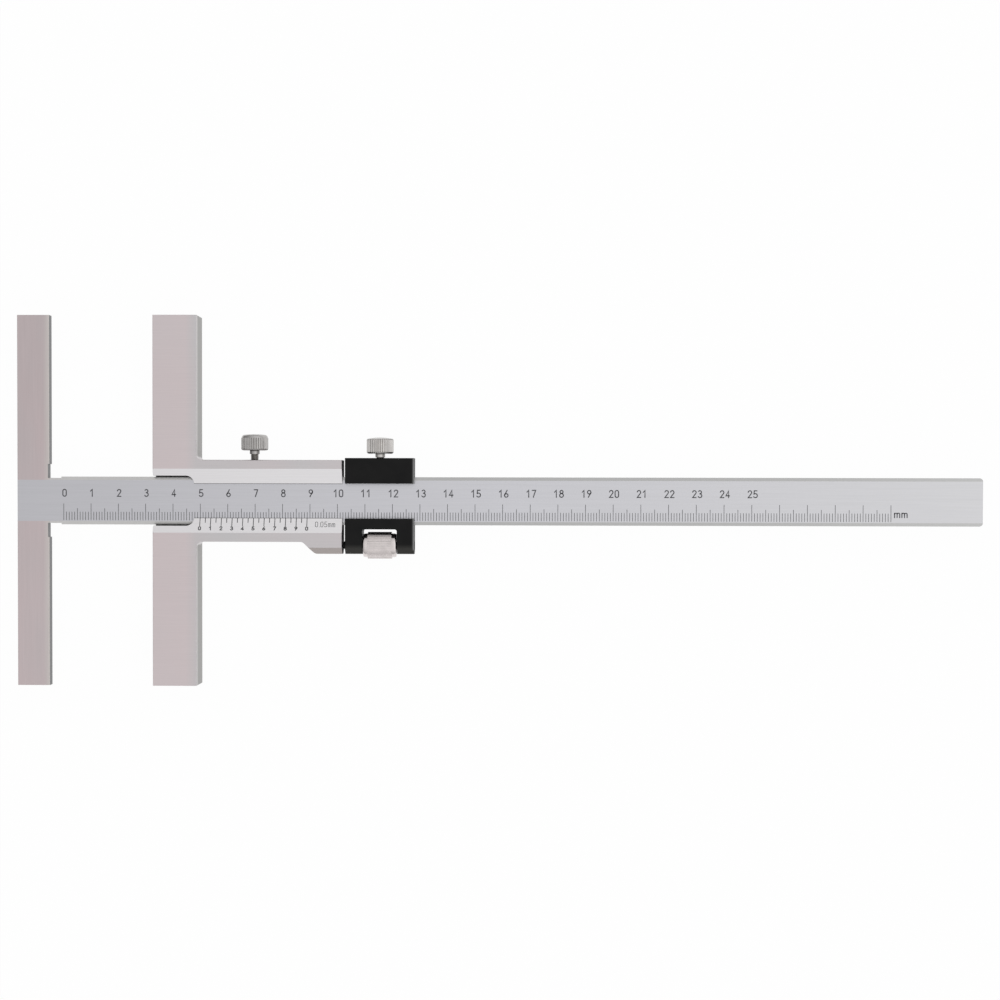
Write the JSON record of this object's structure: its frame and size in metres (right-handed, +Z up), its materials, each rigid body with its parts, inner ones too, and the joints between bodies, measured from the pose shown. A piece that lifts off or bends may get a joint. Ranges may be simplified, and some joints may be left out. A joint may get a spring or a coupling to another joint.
{
  "type": "marking caliper",
  "caption": "Steel marking caliper: T-shaped beam with engraved scale, cross stop on a vernier slider, and a black clamp with fine-adjustment wheel.",
  "frame": {"origin": "under the middle of the beam's length and width, on the surface that the back of the stop rests on", "axes": "+X along the beam from the marking edge to the free end, +Y along the cross bars towards the lock screws, +Z up out of the scale face"},
  "size_m": [0.35, 0.135, 0.0124],
  "materials": {
    "beam_steel": "satin ground, etched scale",
    "slider_steel": "fine ground, bare",
    "gib_bronze": "rolled strip",
    "black_screw": "blackened",
    "knurled_steel": "satin chrome, straight knurl",
    "spindle_steel": "threaded",
    "black_clamp": "matt black",
    "wheel_steel": "turned, fine knurl"
  },
  "bodies": {
    "beam": {"beam": "beam_steel"},
    "slider": {"slider": "slider_steel", "slider_gib": "gib_bronze", "gib_screw_left": "black_screw", "gib_screw_right": "black_screw", "adjusting_spindle": "spindle_steel", "spindle_pin": "spindle_steel"},
    "slider_lock": {"slider_lock_screw": "knurled_steel"},
    "clamp": {"clamp_block": "black_clamp", "clamp_gib": "gib_bronze"},
    "clamp_lock": {"clamp_lock_screw": "knurled_steel"},
    "wheel": {"adjusting_wheel": "wheel_steel"}
  },
  "joints": [
    {"name": "slider_slide", "type": "slide", "parent": "beam", "child": "slider", "axis": [1, 0, 0], "range_m": [-0.0382, 0.2]},
    {"name": "clamp_slide", "type": "slide", "parent": "slider", "child": "clamp", "axis": [1, 0, 0], "range_m": [-0.001, 0.0045]},
    {"name": "wheel_turn", "type": "hinge", "parent": "clamp", "child": "wheel", "pos_m": [-0.0426, -0.0161, 0.00725], "axis": [1, 0, 0], "range_deg": [-721, 3241]},
    {"name": "slider_lock_turn", "type": "hinge", "parent": "slider", "child": "slider_lock", "pos_m": [-0.0884, 0.01485, 0.00755], "axis": [0, 1, 0], "range_deg": [0, 270]},
    {"name": "clamp_lock_turn", "type": "hinge", "parent": "clamp", "child": "clamp_lock", "pos_m": [-0.0426, 0.0156, 0.00755], "axis": [0, 1, 0], "range_deg": [0, 270]}
  ],
  "couplings": [
    {"joint": "wheel_turn", "follows": "clamp_slide", "rad_per_m": 12566}
  ]
}
